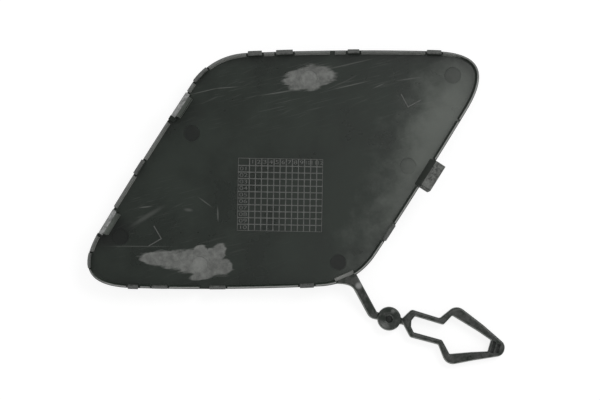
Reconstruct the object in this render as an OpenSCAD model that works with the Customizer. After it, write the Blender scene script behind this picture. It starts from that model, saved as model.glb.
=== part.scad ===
// Clip-in cover for the tow hook opening of a bumper, with its tether.
// It lies on its outer face, so +Z points out of its back, into the bumper.

/* [Face plate] */
// Length of the long edges, between the plate's corners before rounding
plate_len = 72.3; // [62:0.1:90]
// Height of the plate between its corners
plate_height = 57.5; // [48:0.1:70]
// How far the top edge is set to the right of the bottom edge
plate_lean = 36.2; // [28:0.1:40]
// Thickness of the plate
plate_t = 2.5; // [1.8:0.1:3.5]
// How far the long edges bow outwards
long_bow = 1.05; // [0.4:0.05:2]
// How far the leaning ends bow outwards
end_bow = 0.7; // [0.3:0.05:2]
// Radius of the crown across the outer face
crown_r = 420; // [300:10:900]
// Lean of the crown's axis away from upright
crown_lean = 22; // [0:1:32]
// Radius on the edge of the outer face
face_edge_r = 1; // [0.4:0.1:1.6]

/* [Corners] */
// Where the rounding of a blunt corner starts, back from the corner
blunt_reach = 9; // [6:0.5:14]
// Fullness of a blunt corner
blunt_full = 0.65; // [0.5:0.01:0.75]
// Where the rounding of a sharp corner starts, back from the corner
sharp_reach = 16.4; // [12:0.2:22]
// Fullness of a sharp corner
sharp_full = 0.69; // [0.5:0.01:0.75]

/* [Rim] */
// Width of the plate's lip outside the rim wall
lip_w = 0.4; // [0.2:0.05:1]
// Thickness of the rim wall
wall_t = 0.85; // [0.6:0.05:1.5]
// Height of the rim wall above the plate's back
wall_h = 2.4; // [1.5:0.1:4]
// Width of the slit on each side of a snap tab
slit_w = 0.45; // [0.3:0.05:0.6]

/* [Snap tabs] */
// Height of a snap tab above the plate's back
tab_h = 3.2; // [2.6:0.1:5]
// How far a snap tab stands out past the plate's edge
tab_proud = 0.2; // [0:0.05:0.6]
// Height of the ramp on a snap tab
tab_ramp = 1.1; // [0.6:0.1:1.6]
// Width of the flat crest on a snap tab
tab_crest = 0.3; // [0.1:0.05:0.5]

/* [Snap hooks] */
// Length of a snap hook along the edge
hook_len = 6.8; // [5:0.1:10]
// Height of a snap hook above the plate's back
hook_h = 9; // [8.6:0.1:12]
// Thickness of a snap hook's leg
hook_t = 0.85; // [0.7:0.05:1.4]
// How far a hook's nose stands out from its leg
hook_nose = 0.5; // [0.3:0.05:1]
// Height of the nose's edge above the catch
nose_t = 1.8; // [1:0.1:2]
// How far the nose stays inside the plate's edge
hook_inset = 0.4; // [0.3:0.05:0.8]
// Draft on the inner side of a hook
hook_draft = 0.25; // [0:0.05:0.5]
// Depth of the catches of hooks and tongue, above the plate's back
grip = 6; // [4:0.1:6.5]
// Depth of the relief in the plate's edge below a hook
relief_depth = 0.3; // [0.1:0.05:0.35]

/* [Tongue] */
// Length of the tongue's leg along the edge
tongue_len = 6.9; // [5:0.1:10]
// Length of the tongue's lip along the edge
tongue_lip_len = 6.6; // [4:0.1:6.8]
// Height of the tongue above the plate's back
tongue_h = 8.6; // [8.2:0.1:12]
// Thickness of the tongue's leg
tongue_t = 1.4; // [1:0.1:2]
// How far the leg leans outwards over its height
tongue_lean = 1.3; // [0.5:0.1:2.5]
// How far the tongue's lip stands out past the plate's edge
tongue_reach = 2.3; // [1.6:0.1:3]
// Thickness of the lip's edge
tongue_edge = 1.2; // [0.8:0.1:1.6]
// Thickness of the wing on the lip's lower end
wing_t = 0.7; // [0.4:0.1:1]

/* [Tether] */
// Width of the strap
strap_w = 2.4; // [1.6:0.1:3.5]
// Thickness of the strap
strap_t = 1.6; // [1:0.1:2.2]
// Length of the strap from the rim to its bend
strap_len = 10.2; // [7:0.1:16]
// Radius of the disc
disc_r = 2.8; // [2.2:0.1:4]
// Thickness of the disc
disc_t = 2.4; // [1.8:0.1:3.5]
// Radius of the dimple in the disc
dimple_r = 0.75; // [0.4:0.05:1.2]
// Depth of the dimple in the disc
dimple_depth = 1.2; // [0.6:0.1:1.5]
// Width of the neck between disc and loop
neck_w = 1.7; // [1:0.1:2.5]
// Width of the link between strap and disc
link_w = 1.9; // [1.4:0.1:2.4]
// Length of the web on the rim that carries the strap
web_len = 5.2; // [4.4:0.1:6]
// Height of the web above the plate's back
web_h = 1.9; // [1.2:0.1:2.4]

/* [Arrow loop] */
// Length of the loop's tail
tail_len = 9.4; // [7:0.1:12]
// Width of the tail over its bars
tail_w = 6.6; // [6:0.1:7.6]
// Thickness of a tail bar
tail_bar = 1.4; // [1:0.05:1.8]
// Length of the head from the tail to the nose's end
head_len = 17; // [15:0.1:20]
// Width of the head over its barbs
head_w = 14.2; // [13:0.1:16]
// Thickness of the head at a barb
barb_bar = 2.6; // [2:0.1:3.2]
// Radius on a barb
barb_r = 2.9; // [1.5:0.1:3.2]
// Width of the loop's nose before rounding
nose_w = 2.3; // [1.8:0.1:3]
// Thickness of the loop
loop_t = 2; // [1.4:0.1:2.6]
// Depth of the pockets in the loop's nose
pocket_depth = 0.8; // [0.4:0.1:1.2]
// How far each barb is set along the loop for its distance from the middle
barb_slant = 0.2; // [0:0.05:0.3]

/* [Marks] */
// Radius of an ejector-pin mark
pin_r = 2; // [1.5:0.25:3]
// Depth of an ejector-pin mark
pin_depth = 0.15; // [0.1:0.05:0.4]
// Width of a raised line
line_w = 0.25; // [0.15:0.05:0.4]
// Height of a raised line
line_h = 0.15; // [0.1:0.05:0.3]
// Width of a column of the date table
column_w = 1.53; // [1.2:0.01:1.7]
// Height of a row of the date table
row_h = 1.63; // [1.3:0.01:1.8]
// Arm of a corner mark
mark_arm = 3.8; // [2:0.1:5]

/* [Hidden] */

// Corners of the plate before rounding, clockwise from the upper left one
corners = [
    [-plate_len / 2 + plate_lean / 2, plate_height / 2],
    [plate_len / 2 + plate_lean / 2, plate_height / 2],
    [plate_len / 2 - plate_lean / 2, -plate_height / 2],
    [-plate_len / 2 - plate_lean / 2, -plate_height / 2]];
bows = [long_bow, end_bow, long_bow, end_bow];
reaches = [blunt_reach, sharp_reach, blunt_reach, sharp_reach];
fulls = [blunt_full, sharp_full, blunt_full, sharp_full];

// Steps along each of the eight stretches of the outline: a side, then the corner after it
stretch_steps = [6, 20, 6, 12, 6, 20, 6, 12];
stretches = len(stretch_steps);

// Places on the outline: the whole part is the stretch, clockwise from the top edge,
// and the fraction is how far along it. Each snap tab is [place, length].
tabs = [
    [0.05, 3.8],
    [0.2, 4.5],
    [0.56, 2.4],
    [0.99, 4],
    [2.85, 4.6],
    [4.07, 3.5],
    [4.545, 4],
    [4.86, 4.4],
    [5.01, 3.4],
    [5.65, 3],
    [6.43, 4],
    [7.2, 4.6]];
// Gaps in the rim wall that hold no tab, each [place, length]
wall_gaps = [[0.455, 1.2], [2.03, 5], [4.617, 2.4]];
hook_places = [6.872, 6.065];
tongue_place = 2.427;
// The tongue's lip is set towards its lower end, where its wing is lower than the lip
lip_place = 2.442;
wing_drop = 0.35;
strap_place = 3.49;
web_place = 3.6;

// Places of the relief in the plate's edge are the hooks' own
relief_len = hook_len + 2 * slit_w;

// Round marks of the ejector pins, as [x, y] on the plate's back
pin_marks = [
    [-22.9, 9.1],
    [42.3, 23.4],
    [31.1, 0.8],
    [13.6, -23.3],
    [6.5, 22.9],
    [-21, -23.6],
    [-40.8, -16.7]];
// Corner marks, as [x, y, heading of the first arm]
corner_marks = [[31.1, 15.4, 28], [-30.4, -17.2, 120]];
// Date table: its upper left corner, turn, columns, rows and the sizes of its heads
table_at = [-11.3, 3];
table_turn = -1.2;
columns = 12;
rows = 10;
head_column = 2.85;
head_row = 1.9;

// The strap leaves the rim at this heading and comes down to just above the table
strap_heading = -61.7;
table_gap = 0.3;
// How far the strap's root reaches into the rim, and where it starts to come down
root_in = 1;
root_drop = 2.9;
// Flare on the lower side of the root, and how far it goes back along the rim
root_flare = 3.3;
flare_back = 0.5;
flare_steps = 5;
// How far the web's slope reaches past the plate's edge
web_reach = 0.7;
// Set off from the strap's end
bend_at = [1, -0.75];
disc_at = [4.45, -1.4];
loop_at = [8.4, -2.3];
loop_heading = -15;
// How far the neck reaches into the loop
neck_in = 1.2;

// Loop: where its start, the shoulders, the barbs and the inner corners are, along it
loop_start = 0.55;
shoulder_at = 2.15;
shoulder_rise = 0.2;
shoulder_r = 1.2;
barb_at = 3.6;
barb_corner_rise = 0.28;
waist_r = 0.9;
waist_taper = 0.2;
base_at = 2.25;
base_half = 0.6;
inner_shoulder_at = 2.8;
waist_in = 0.5;
barb_in = 3.3;
nose_solid = 3.9;
// The nose's corners are rounded as far as its width lets them be
nose_r = 0.78 * nose_w;
// Pockets in the nose, each [distance from its end, length across]
pockets = [[3.4, 3.2], [2, 2.2]];
pocket_w = 0.8;

// Features are sunk this far into what carries them, and cuts run this far past
sink = 0.8;
clear = 1;
// Taller than anything that is cut to the crown, and longer than the whole part
reach_z = 30;
roll_len = 4 * plate_len;
crown_fn = 1440;
face_fn = 720;
round_fn = 64;
corner_steps = 6;

// Unit vector of v
function unit(v) = v / norm(v);
// Left-hand normal of v, which points outwards on a clockwise outline
function left_of(v) = [-v[1], v[0]];

// Side i runs from corner i to the next one, and bows out as a parabola
function side_chord(i) = corners[(i + 1) % 4] - corners[i];
function side_out(i) = left_of(unit(side_chord(i)));
function side_at(i, t) = corners[i] + t * side_chord(i) + 4 * bows[i] * t * (1 - t) * side_out(i);
function side_dir(i, t) = unit(side_chord(i) + 4 * bows[i] * (1 - 2 * t) * side_out(i));
function side_first(i) = reaches[i] / norm(side_chord(i));
function side_last(i) = 1 - reaches[(i + 1) % 4] / norm(side_chord(i));
function along_side(i, f) = side_first(i) + f * (side_last(i) - side_first(i));

// Corner curve after side i: a cubic from the end of that side to the start of the next
function handles(i) = let (
    j = (i + 1) % 4,
    a = side_at(i, side_last(i)),
    b = side_at(j, side_first(j)),
    pull = reaches[j] * fulls[j])
    [a, a + pull * side_dir(i, side_last(i)), b - pull * side_dir(j, side_first(j)), b];
function curve_at(h, t) =
    pow(1 - t, 3) * h[0] + 3 * t * pow(1 - t, 2) * h[1] + 3 * t * t * (1 - t) * h[2] + pow(t, 3) * h[3];
function curve_dir(h, t) =
    unit(pow(1 - t, 2) * (h[1] - h[0]) + 2 * t * (1 - t) * (h[2] - h[1]) + t * t * (h[3] - h[2]));

// Point and heading of the outline at a place
function edge_at(place) = let (k = floor(place) % stretches, i = floor(k / 2), f = place - floor(place))
    k % 2 == 0 ? side_at(i, along_side(i, f)) : curve_at(handles(i), f);
function edge_dir(place) = let (k = floor(place) % stretches, i = floor(k / 2), f = place - floor(place))
    k % 2 == 0 ? side_dir(i, along_side(i, f)) : curve_dir(handles(i), f);
function edge_out(place) = left_of(edge_dir(place));
function outline(inset) = [
    for (k = [0 : stretches - 1], n = [0 : stretch_steps[k] - 1])
        let (place = k + n / stretch_steps[k])
        edge_at(place) - inset * edge_out(place)];

// Distance of a point from the crown's lowest line, and height of the plate's back there
function across(p) = p[0] * cos(crown_lean) - p[1] * sin(crown_lean);
function back_z(p) = crown_r - sqrt(pow(crown_r - plate_t, 2) - pow(across(p), 2));

// Arc of radius r that rounds corner b of the path a, b, c
function corner_arc(a, b, c, r) = let (
    to_a = unit(a - b),
    to_c = unit(c - b),
    half = acos(to_a * to_c) / 2,
    mid = b + unit(to_a + to_c) * r / sin(half),
    first = b + to_a * r / tan(half) - mid,
    last = b + to_c * r / tan(half) - mid,
    start = atan2(first[1], first[0]),
    turn = atan2(first[0] * last[1] - first[1] * last[0], first * last))
    [for (n = [0 : corner_steps])
        let (a = start + turn * n / corner_steps)
        mid + r * [cos(a), sin(a)]];
function rounded(points, radii) = let (n = len(points)) [
    for (i = [0 : n - 1])
        each corner_arc(points[(i + n - 1) % n], points[i], points[(i + 1) % n], radii[i])];

// Roll whose lowest line is the crown's, as a solid to cut curved faces with
module crown_roll(r, steps = crown_fn) {
    rotate([0, 0, -crown_lean])
        translate([0, 0, crown_r])
            rotate([90, 0, 0])
                cylinder(r = r, h = roll_len, center = true, $fn = steps);
}

// Keeps what lies between two heights above the outer face, measured across the crown
module between(low, high) {
    intersection() {
        translate([0, 0, -clear]) linear_extrude(height = reach_z) children();
        difference() {
            crown_roll(crown_r - low);
            crown_roll(crown_r - high);
        }
    }
}

// Children stand at a place on the edge: X outwards, Y along the edge, Z from the plate's back
module at_edge(place) {
    p = edge_at(place);
    out = edge_out(place);
    translate([p[0], p[1], back_z(p)])
        rotate([0, 0, atan2(out[1], out[0])])
            children();
}

// Bar of a given length along the edge, from its section: outwards, then upwards
module edge_bar(place, length, section) {
    at_edge(place)
        rotate([90, 0, 0])
            linear_extrude(height = length, center = true)
                polygon(section);
}

// Crowned plate with a rounded edge on its outer face
module face_plate() {
    difference() {
        hull()
            for (a = [0 : 30 : 90])
                intersection() {
                    translate([0, 0, -clear])
                        linear_extrude(height = reach_z)
                            polygon(outline(face_edge_r * (1 - sin(a))));
                    crown_roll(crown_r - face_edge_r * (1 - cos(a)), face_fn);
                }
        crown_roll(crown_r - plate_t);
    }
}

// Rim wall, interrupted at the tabs' slits, the gaps, the hooks, the tongue and the web
module rim_wall() {
    between(plate_t - sink, plate_t + wall_h)
        difference() {
            polygon(outline(lip_w));
            polygon(outline(lip_w + wall_t));
            for (tab = tabs)
                wall_gap(tab[0], tab[1] + 2 * slit_w);
            for (gap = wall_gaps)
                wall_gap(gap[0], gap[1]);
            for (place = hook_places)
                wall_gap(place, hook_len + 2 * slit_w);
            wall_gap(tongue_place, tongue_len + 2 * slit_w);
            wall_gap(web_place, web_len);
        }
}

// Area of a gap across the wall
module wall_gap(place, length) {
    p = edge_at(place);
    out = edge_out(place);
    depth = lip_w + wall_t + clear;
    translate(p)
        rotate(atan2(out[1], out[0]))
            translate([-depth, -length / 2])
                square([depth + clear, length]);
}

// Short spring tab of the rim with a ramped nose
module snap_tab(place, length) {
    back = -lip_w - wall_t;
    edge_bar(place, length, [
        [back, -sink],
        [-lip_w, -sink],
        [-lip_w, tab_h - tab_ramp - (lip_w + tab_proud)],
        [tab_proud, tab_h - tab_ramp],
        [back + tab_crest, tab_h],
        [back, tab_h]]);
}

// Tall hook that catches behind the bumper
module snap_hook(place) {
    nose = -hook_inset;
    leg_out = nose - hook_nose;
    leg_in = leg_out - hook_t;
    edge_bar(place, hook_len, [
        [leg_in - hook_draft, -sink],
        [leg_out, -sink],
        [leg_out, grip],
        [nose, grip],
        [nose, grip + nose_t],
        [leg_in + tab_crest, hook_h],
        [leg_in, hook_h]]);
}

// Relief in the plate's edge, through which a hook's nose is moulded
module hook_relief(place) {
    edge_bar(place, relief_len, [
        [-relief_depth, -plate_t - clear],
        [clear, -plate_t - clear],
        [clear, clear],
        [-relief_depth, clear]]);
}

// Leaning tongue that hooks under the far side of the opening
module tongue() {
    foot = -lip_w - tongue_t;
    top = foot + tongue_lean;
    leg = [
        [foot, -sink],
        [-lip_w, -sink],
        [-lip_w, sink],
        [top + tongue_t / 2, grip],
        [top + tongue_t / 2, grip + tongue_edge],
        [top, tongue_h]];
    lip = [
        [top, grip],
        [tongue_reach, grip],
        [tongue_reach, grip + tongue_edge],
        [top + tab_crest, tongue_h],
        [top, tongue_h]];
    edge_bar(tongue_place, tongue_len, leg);
    edge_bar(lip_place, tongue_lip_len, lip);
    at_edge(lip_place)
        translate([0, -(tongue_lip_len + wing_t) / 2, -wing_drop])
            rotate([90, 0, 0])
                linear_extrude(height = wing_t + sink, center = true)
                    polygon(lip);
}

module pin_mark(p) {
    translate([p[0], p[1], back_z(p) - pin_depth])
        cylinder(r = pin_r, h = pin_depth + clear, $fn = round_fn);
}

// Raised lines of the mould: a date table and two corner marks
module raised_lines() {
    between(plate_t - sink, plate_t + line_h) {
        translate(table_at)
            rotate(table_turn)
                date_table();
        for (mark = corner_marks)
            translate([mark[0], mark[1]])
                rotate(mark[2])
                    corner_mark();
    }
}

module date_table() {
    width = head_column + columns * column_w;
    height = head_row + rows * row_h;
    difference() {
        translate([-line_w / 2, -height - line_w / 2])
            square([width + line_w, height + line_w]);
        for (c = [0 : columns], r = [0 : rows]) {
            left = c == 0 ? 0 : head_column + (c - 1) * column_w;
            top = r == 0 ? 0 : head_row + (r - 1) * row_h;
            cell_w = (c == 0 ? head_column : column_w) - line_w;
            cell_h = (r == 0 ? head_row : row_h) - line_w;
            translate([left + line_w / 2, -top - line_w / 2 - cell_h])
                square([cell_w, cell_h]);
        }
    }
}

module corner_mark() {
    difference() {
        square(mark_arm);
        translate([line_w, line_w])
            square(mark_arm);
    }
}

// Root of the strap, seen from above: straight on its right side and flared on its left
module root_outline() {
    polygon([
        [-root_in, strap_w / 2],
        [root_drop, strap_w / 2],
        for (n = [0 : flare_steps])
            let (s = n / flare_steps)
            [root_drop - s * (root_drop + flare_back), -strap_w / 2 - s * s * root_flare],
        [-root_in - flare_back, -strap_w / 2 - 0.8 * root_flare]]);
}

// Web in the rim that the strap grows out of, with a slope on its outer side
module strap_web() {
    back = -lip_w - wall_t;
    crest = -lip_w - wall_t / 2;
    edge_bar(web_place, web_len, [
        [back, -sink],
        [-lip_w, -sink],
        [-lip_w, strap_t / 2],
        [crest, web_h],
        [back, web_h]]);
}

// Slope from the web's crest down to the strap's root
module root_slope() {
    crest = -lip_w - wall_t / 2;
    intersection() {
        edge_bar(web_place, web_len, [
            [crest, 0],
            [web_reach, 0],
            [web_reach, strap_t / 2],
            [crest, web_h]]);
        translate(edge_at(strap_place))
            rotate(strap_heading)
                linear_extrude(height = reach_z)
                    root_outline();
    }
}

// Straight bar with round ends from a to b
module round_bar(a, b, width) {
    v = b - a;
    translate(a)
        rotate([0, 0, atan2(v[1], v[0])])
            translate([0, -width / 2])
                square([norm(v), width]);
    translate(a) circle(d = width, $fn = round_fn);
    translate(b) circle(d = width, $fn = round_fn);
}

// Strap from its root down to the table
module strap() {
    root_z = back_z(edge_at(strap_place)) - strap_t / 2;
    rotate([0, 0, strap_heading]) {
        rotate([90, 0, 0])
            linear_extrude(height = strap_w, center = true)
                polygon([
                    [-root_in, root_z],
                    [root_drop, root_z],
                    [strap_len, table_gap],
                    [strap_len, table_gap + strap_t],
                    [root_drop, root_z + strap_t],
                    [-root_in, root_z + strap_t]]);
        translate([0, 0, root_z])
            linear_extrude(height = strap_t)
                root_outline();
    }
}

// Disc with its blind dimple
module tether_disc() {
    difference() {
        cylinder(r = disc_r, h = disc_t, $fn = round_fn);
        translate([0, 0, disc_t - dimple_depth])
            cylinder(r = dimple_r, h = dimple_depth + clear, $fn = round_fn);
    }
}

// Strap, link, disc, neck and loop, from the place where the strap leaves the edge
module tether() {
    end = strap_len * [cos(strap_heading), sin(strap_heading)];
    neck_end = end + loop_at + neck_in * [cos(loop_heading), sin(loop_heading)];
    strap();
    translate([0, 0, table_gap]) {
        linear_extrude(height = strap_t) {
            round_bar(end, end + bend_at, strap_w);
            round_bar(end + bend_at, end + disc_at, link_w);
        }
        linear_extrude(height = loop_t)
            round_bar(end + disc_at, neck_end, neck_w);
        translate(end + disc_at)
            tether_disc();
        translate(end + loop_at)
            rotate(loop_heading)
                arrow_loop();
    }
}

// Flat arrow-shaped loop. Its points are given for the upper half and mirrored.
function slanted(p) = [p[0] - barb_slant * p[1], p[1]];
function both_halves(upper) = let (n = len(upper)) concat(
    [for (p = upper) slanted(p)],
    [for (i = [n - 1 : -1 : 0]) slanted([upper[i][0], -upper[i][1]])]);
function both_radii(upper) = let (n = len(upper)) concat(upper, [for (i = [n - 1 : -1 : 0]) upper[i]]);

module arrow_loop() {
    nose = tail_len + head_len;
    outer = [
        [loop_start, neck_w / 4],
        [shoulder_at, tail_w / 2 + shoulder_rise],
        [tail_len, tail_w / 2 - waist_taper],
        [tail_len + barb_at, head_w / 2 + barb_corner_rise * barb_r],
        [nose, nose_w / 2]];
    outer_radii = [0.3, shoulder_r, waist_r, barb_r, nose_r];
    inner = [
        [base_at, base_half],
        [inner_shoulder_at, tail_w / 2 - tail_bar],
        [tail_len + waist_in, tail_w / 2 - tail_bar - waist_taper / 2],
        [tail_len + barb_in, head_w / 2 - barb_bar],
        [nose - nose_solid, nose_w / 2]];
    inner_radii = [0.4, 0.5, 0.8, 0.4, 0.3];
    difference() {
        linear_extrude(height = loop_t)
            difference() {
                polygon(rounded(both_halves(outer), both_radii(outer_radii)));
                polygon(rounded(both_halves(inner), both_radii(inner_radii)));
            }
        for (pocket = pockets)
            translate([nose - pocket[0], -pocket[1] / 2, loop_t - pocket_depth])
                cube([pocket_w, pocket[1], pocket_depth + clear]);
    }
}

module cover() {
    color([0.2, 0.21, 0.2]) {
        difference() {
            union() {
                face_plate();
                rim_wall();
                raised_lines();
            }
            for (p = pin_marks)
                pin_mark(p);
            for (place = hook_places)
                hook_relief(place);
        }
        for (tab = tabs)
            snap_tab(tab[0], tab[1]);
        for (place = hook_places)
            snap_hook(place);
        tongue();
        strap_web();
        root_slope();
        translate(edge_at(strap_place))
            tether();
    }
}

cover();
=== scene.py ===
"""Clip-in cover for the tow hook opening of a bumper, lying on its outer face, with its moulded tether."""

import math

import bmesh
import bpy
from bpy.props import FloatProperty, FloatVectorProperty, IntProperty, PointerProperty
from mathutils import Matrix, Vector


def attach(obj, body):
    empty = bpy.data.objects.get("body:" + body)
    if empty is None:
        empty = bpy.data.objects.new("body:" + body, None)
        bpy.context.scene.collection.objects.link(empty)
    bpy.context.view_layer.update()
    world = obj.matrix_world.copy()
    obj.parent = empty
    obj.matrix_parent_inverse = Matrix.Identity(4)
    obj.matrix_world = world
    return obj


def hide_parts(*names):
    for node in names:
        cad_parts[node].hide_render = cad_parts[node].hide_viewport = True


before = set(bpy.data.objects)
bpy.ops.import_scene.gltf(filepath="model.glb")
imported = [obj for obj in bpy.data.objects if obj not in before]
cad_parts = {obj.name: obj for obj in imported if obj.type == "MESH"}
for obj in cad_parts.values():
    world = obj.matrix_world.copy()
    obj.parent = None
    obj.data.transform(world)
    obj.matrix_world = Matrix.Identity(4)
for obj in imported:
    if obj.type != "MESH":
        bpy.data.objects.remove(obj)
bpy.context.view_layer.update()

bl_info = {
    "name": "Tow hook cover",
    "version": (1, 0, 0),
    "blender": (4, 5, 0),
    "location": "3D View > Sidebar > Cover",
    "description": "Builds the back of a clip-in bumper cover, with its rim, snaps, tongue and tether",
    "category": "Add Mesh",
}

MM = 0.001
NODE = "cover"
BODY = "root"

# Places on the outline: the whole part is the stretch, clockwise from the top edge, and the
# fraction is how far along it. Each snap tab is (place, length, share of the full reach past the
# edge), each gap in the wall (place, length) and each hook (place, how far its nose stays inside).
SNAP_TABS = [
    (0.043, 3.5 * MM, 1),
    (0.2, 4.2 * MM, 1),
    (0.567, 2.9 * MM, 0.5),
    (0.995, 3.6 * MM, 0.6),
    (2.85, 4.6 * MM, 0.6),
    (4.07, 3.5 * MM, 0.6),
    (4.545, 4 * MM, 0.2),
    (4.853, 3.9 * MM, 0),
    (4.994, 2.6 * MM, 0.6),
    (5.68, 4 * MM, 0),
    (6.43, 4 * MM, 0.6),
    (7.2, 4.6 * MM, 0.4),
]
WALL_GAPS = [
    (0.455, 1.2 * MM),
    (2.08, 0.7 * MM),
    (2.522, 1.2 * MM),
    (4.617, 2.4 * MM),
    (5.965, 1.2 * MM),
    (6.768, 2.2 * MM),
]
HOOKS = [(6.866, 0.4 * MM), (6.065, 0.6 * MM)]
FOOT_PLACE = 6.774
TONGUE_PLACE = 2.441
LIP_PLACE = 2.435
WEB_PLACE = 3.6
STRAP_PLACE = 3.49
STRETCHES = 8

# Round marks of the ejector pins on the plate's back: x, y, then their tone, dark below 0, where the dark is painted
# shade
PIN_MARKS = [
    (-22.9 * MM, 9.1 * MM, -0.9),
    (42.3 * MM, 23.4 * MM, -0.35),
    (31.1 * MM, 0.8 * MM, -0.2),
    (13.6 * MM, -23.3 * MM, -1),
    (6.5 * MM, 22.9 * MM, 0.15),
    (-21 * MM, -23.6 * MM, 0.3),
    (-40.8 * MM, -16.7 * MM, -1),
]
# Corner marks: where their corner is, and the heading of their first arm
CORNER_MARKS = [((31.1 * MM, 15.4 * MM), 28), ((-30.4 * MM, -17.2 * MM), 120)]


class PlateSizes(bpy.types.PropertyGroup):
    """The face plate"""

    length: FloatProperty(
        name="Length", description="Length of the long edges before rounding", default=72.3 * MM, unit="LENGTH"
    )
    height: FloatProperty(
        name="Height", description="Height of the plate between its corners", default=57.5 * MM, unit="LENGTH"
    )
    lean: FloatProperty(
        name="Lean", description="How far the top edge is set to the right", default=36.2 * MM, unit="LENGTH"
    )
    thickness: FloatProperty(name="Thickness", description="Thickness of the plate", default=2.5 * MM, unit="LENGTH")
    long_bow: FloatProperty(
        name="Long bow", description="How far the long edges bow outwards", default=1.05 * MM, unit="LENGTH"
    )
    end_bow: FloatProperty(
        name="End bow", description="How far the leaning ends bow outwards", default=0.5 * MM, unit="LENGTH"
    )
    blunt_reach: FloatProperty(
        name="Blunt reach", description="Start of a blunt corner's rounding", default=9 * MM, unit="LENGTH"
    )
    sharp_reach: FloatProperty(
        name="Sharp reach", description="Start of a sharp corner's rounding", default=16.4 * MM, unit="LENGTH"
    )
    blunt_full: FloatProperty(name="Blunt fullness", description="Fullness of a blunt corner", default=0.65)
    sharp_full: FloatProperty(name="Sharp fullness", description="Fullness of a sharp corner", default=0.69)
    crown_radius: FloatProperty(
        name="Crown", description="Radius of the crown across the outer face", default=420 * MM, unit="LENGTH"
    )
    crown_lean: FloatProperty(
        name="Crown lean",
        description="Lean of the crown's axis away from upright",
        default=math.radians(22),
        subtype="ANGLE",
    )
    face_edge: FloatProperty(
        name="Face edge", description="Radius on the edge of the outer face", default=1 * MM, unit="LENGTH"
    )
    lip_edge: FloatProperty(
        name="Lip edge", description="Radius on the edge of the lip", default=0.15 * MM, unit="LENGTH"
    )
    pin_radius: FloatProperty(
        name="Pin radius", description="Radius of an ejector-pin mark", default=2 * MM, unit="LENGTH"
    )
    pin_depth: FloatProperty(
        name="Pin depth", description="Depth of an ejector-pin mark", default=0.15 * MM, unit="LENGTH"
    )
    strip: FloatProperty(
        name="Strip", description="Width of the strips that the crown is bent in", default=2.5 * MM, unit="LENGTH"
    )


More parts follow.
